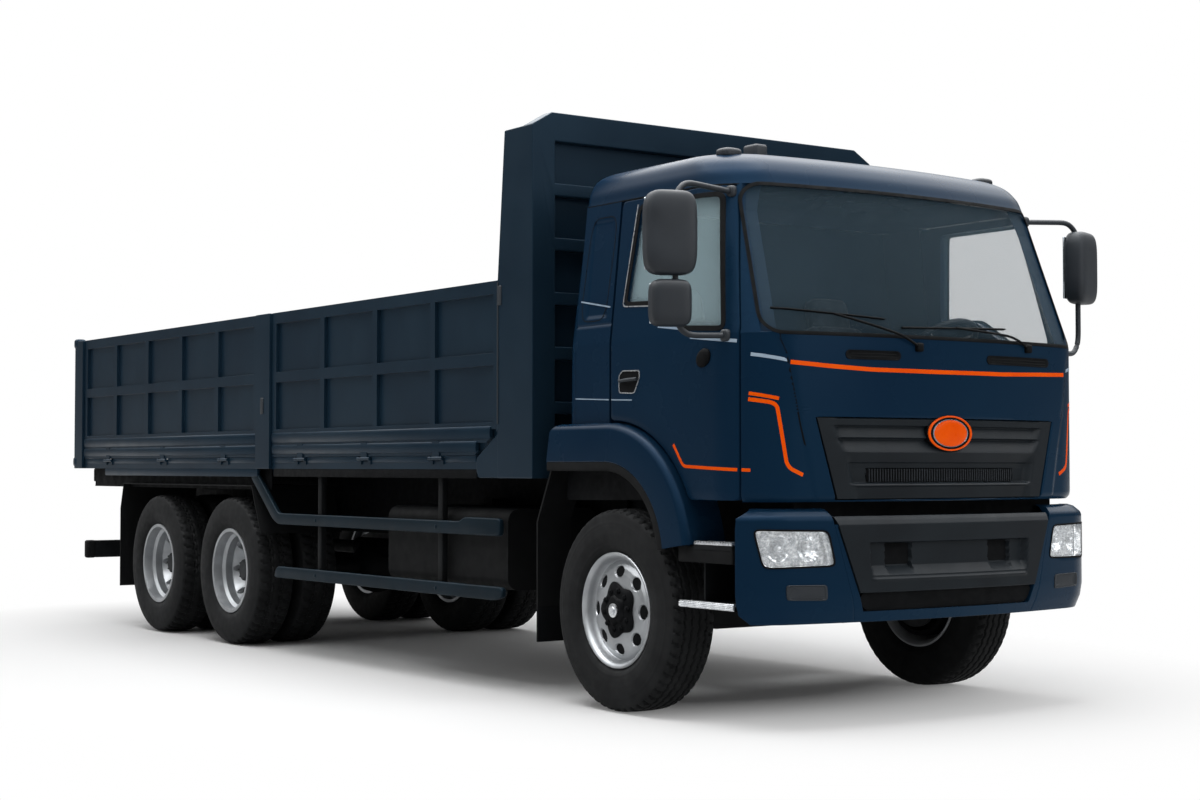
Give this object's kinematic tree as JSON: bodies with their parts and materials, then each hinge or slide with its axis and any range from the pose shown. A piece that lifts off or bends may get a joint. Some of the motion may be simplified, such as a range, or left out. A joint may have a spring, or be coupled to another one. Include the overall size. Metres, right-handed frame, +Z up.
{
  "type": "truck",
  "caption": "Three-axle drop-side cargo truck: flat-nosed sleeper cab with opening doors, steered front wheels, twin rear wheels and a load body with hinged sideboards and tailgate.",
  "frame": {"origin": "ground level, under the middle of the truck's overall length and width", "axes": "+Z up, -Y is the truck's front, +X its left side"},
  "size_m": [3.146, 8.95, 3.21],
  "materials": {
    "cab_paint": "gloss",
    "bed_paint": "satin",
    "chassis_black": "satin",
    "guard_grey": "satin",
    "cast_steel": "matte",
    "dark_plastic": "matte",
    "rubber_black": "matte",
    "tyre": "matte",
    "wheel_silver": "satin",
    "glass": "gloss",
    "lamp_clear": "gloss",
    "lamp_red": "gloss",
    "badge_orange": "gloss",
    "seat_fabric": "matte"
  },
  "bodies": {
    "chassis": {"frame_rails": "chassis_black", "crossmembers": "chassis_black", "front_axle": "chassis_black", "leaf_springs": "cast_steel", "rear_axles": "chassis_black", "propshaft": "cast_steel", "engine": "cast_steel", "side_tanks": "chassis_black", "side_guards": "guard_grey", "front_bumper": "cab_paint", "bumper_insert": "dark_plastic", "front_lamps": "lamp_clear", "cab_steps": "chassis_black", "front_mudguards": "rubber_black", "rear_mudguards": "rubber_black", "rear_underrun": "chassis_black", "tail_lamps": "lamp_red", "cab_floor": "dark_plastic", "cab_back": "cab_paint", "cab_side_right": "cab_paint", "cab_side_left": "cab_paint", "cab_roof": "cab_paint", "cab_front": "cab_paint", "grille": "dark_plastic", "badge": "badge_orange", "windscreen": "glass", "dashboard": "dark_plastic", "steering_wheel": "dark_plastic", "seats": "seat_fabric", "bed_floor": "bed_paint", "headboard": "bed_paint", "bed_posts": "bed_paint"},
    "door_right": {"door_right": "cab_paint", "door_glass_right": "glass", "mirror_right": "dark_plastic"},
    "door_left": {"door_left": "cab_paint", "door_glass_left": "glass", "mirror_left": "dark_plastic"},
    "board_front_right": {"board_front_right": "bed_paint"},
    "board_front_left": {"board_front_left": "bed_paint"},
    "board_rear_right": {"board_rear_right": "bed_paint"},
    "board_rear_left": {"board_rear_left": "bed_paint"},
    "tailgate": {"tailgate": "bed_paint"},
    "knuckle_right": {"knuckle_right": "cast_steel"},
    "knuckle_left": {"knuckle_left": "cast_steel"},
    "tie_rod": {"tie_rod": "cast_steel"},
    "wheel_front_right": {"front_tyre_right": "tyre", "front_rim_right": "wheel_silver"},
    "wheel_front_left": {"front_tyre_left": "tyre", "front_rim_left": "wheel_silver"},
    "wheel_rear_1_right": {"rear_tyres_1_right": "tyre", "rear_rims_1_right": "wheel_silver"},
    "wheel_rear_1_left": {"rear_tyres_1_left": "tyre", "rear_rims_1_left": "wheel_silver"},
    "wheel_rear_2_right": {"rear_tyres_2_right": "tyre", "rear_rims_2_right": "wheel_silver"},
    "wheel_rear_2_left": {"rear_tyres_2_left": "tyre", "rear_rims_2_left": "wheel_silver"}
  },
  "joints": [
    {"name": "steer_left", "type": "hinge", "parent": "chassis", "child": "knuckle_left", "pos_m": [0.86, -3.225, 0.522], "axis": [0, 0, 1], "range_deg": [-35, 35]},
    {"name": "steer_right", "type": "hinge", "parent": "chassis", "child": "knuckle_right", "pos_m": [-0.86, -3.225, 0.522], "axis": [0, 0, 1], "range_deg": [-35, 35]},
    {"name": "track_rod", "type": "hinge", "parent": "knuckle_left", "child": "tie_rod", "pos_m": [0.86, -2.985, 0.413], "axis": [0, 0, 1], "range_deg": [-35, 35]},
    {"name": "spin_front_left", "type": "hinge", "parent": "knuckle_left", "child": "wheel_front_left", "pos_m": [1.07, -3.225, 0.522], "axis": [1, 0, 0], "continuous": true},
    {"name": "spin_front_right", "type": "hinge", "parent": "knuckle_right", "child": "wheel_front_right", "pos_m": [-1.07, -3.225, 0.522], "axis": [1, 0, 0], "continuous": true},
    {"name": "spin_rear_1_left", "type": "hinge", "parent": "chassis", "child": "wheel_rear_1_left", "pos_m": [1.07, 1.475, 0.522], "axis": [1, 0, 0], "continuous": true},
    {"name": "spin_rear_1_right", "type": "hinge", "parent": "chassis", "child": "wheel_rear_1_right", "pos_m": [-1.07, 1.475, 0.522], "axis": [1, 0, 0], "continuous": true},
    {"name": "spin_rear_2_left", "type": "hinge", "parent": "chassis", "child": "wheel_rear_2_left", "pos_m": [1.07, 2.775, 0.522], "axis": [1, 0, 0], "continuous": true},
    {"name": "spin_rear_2_right", "type": "hinge", "parent": "chassis", "child": "wheel_rear_2_right", "pos_m": [-1.07, 2.775, 0.522], "axis": [1, 0, 0], "continuous": true},
    {"name": "door_left", "type": "hinge", "parent": "chassis", "child": "door_left", "pos_m": [1.13948, -4.165, 1.5], "axis": [0, 0, -1], "range_deg": [0, 70]},
    {"name": "door_right", "type": "hinge", "parent": "chassis", "child": "door_right", "pos_m": [-1.13948, -4.165, 1.5], "axis": [0, 0, 1], "range_deg": [0, 70]},
    {"name": "board_front_left", "type": "hinge", "parent": "chassis", "child": "board_front_left", "pos_m": [1.238, -0.715, 1.308], "axis": [0, 1, 0], "range_deg": [0, 175]},
    {"name": "board_front_right", "type": "hinge", "parent": "chassis", "child": "board_front_right", "pos_m": [-1.238, -0.715, 1.308], "axis": [0, -1, 0], "range_deg": [0, 175]},
    {"name": "board_rear_left", "type": "hinge", "parent": "chassis", "child": "board_rear_left", "pos_m": [1.238, 2.6, 1.308], "axis": [0, 1, 0], "range_deg": [0, 175]},
    {"name": "board_rear_right", "type": "hinge", "parent": "chassis", "child": "board_rear_right", "pos_m": [-1.238, 2.6, 1.308], "axis": [0, -1, 0], "range_deg": [0, 175]},
    {"name": "tailgate", "type": "hinge", "parent": "chassis", "child": "tailgate", "pos_m": [0, 4.464, 1.308], "axis": [-1, 0, 0], "range_deg": [0, 175]}
  ],
  "couplings": [
    {"joint": "steer_right", "follows": "steer_left", "ratio": 1},
    {"joint": "track_rod", "follows": "steer_left", "ratio": -1}
  ]
}
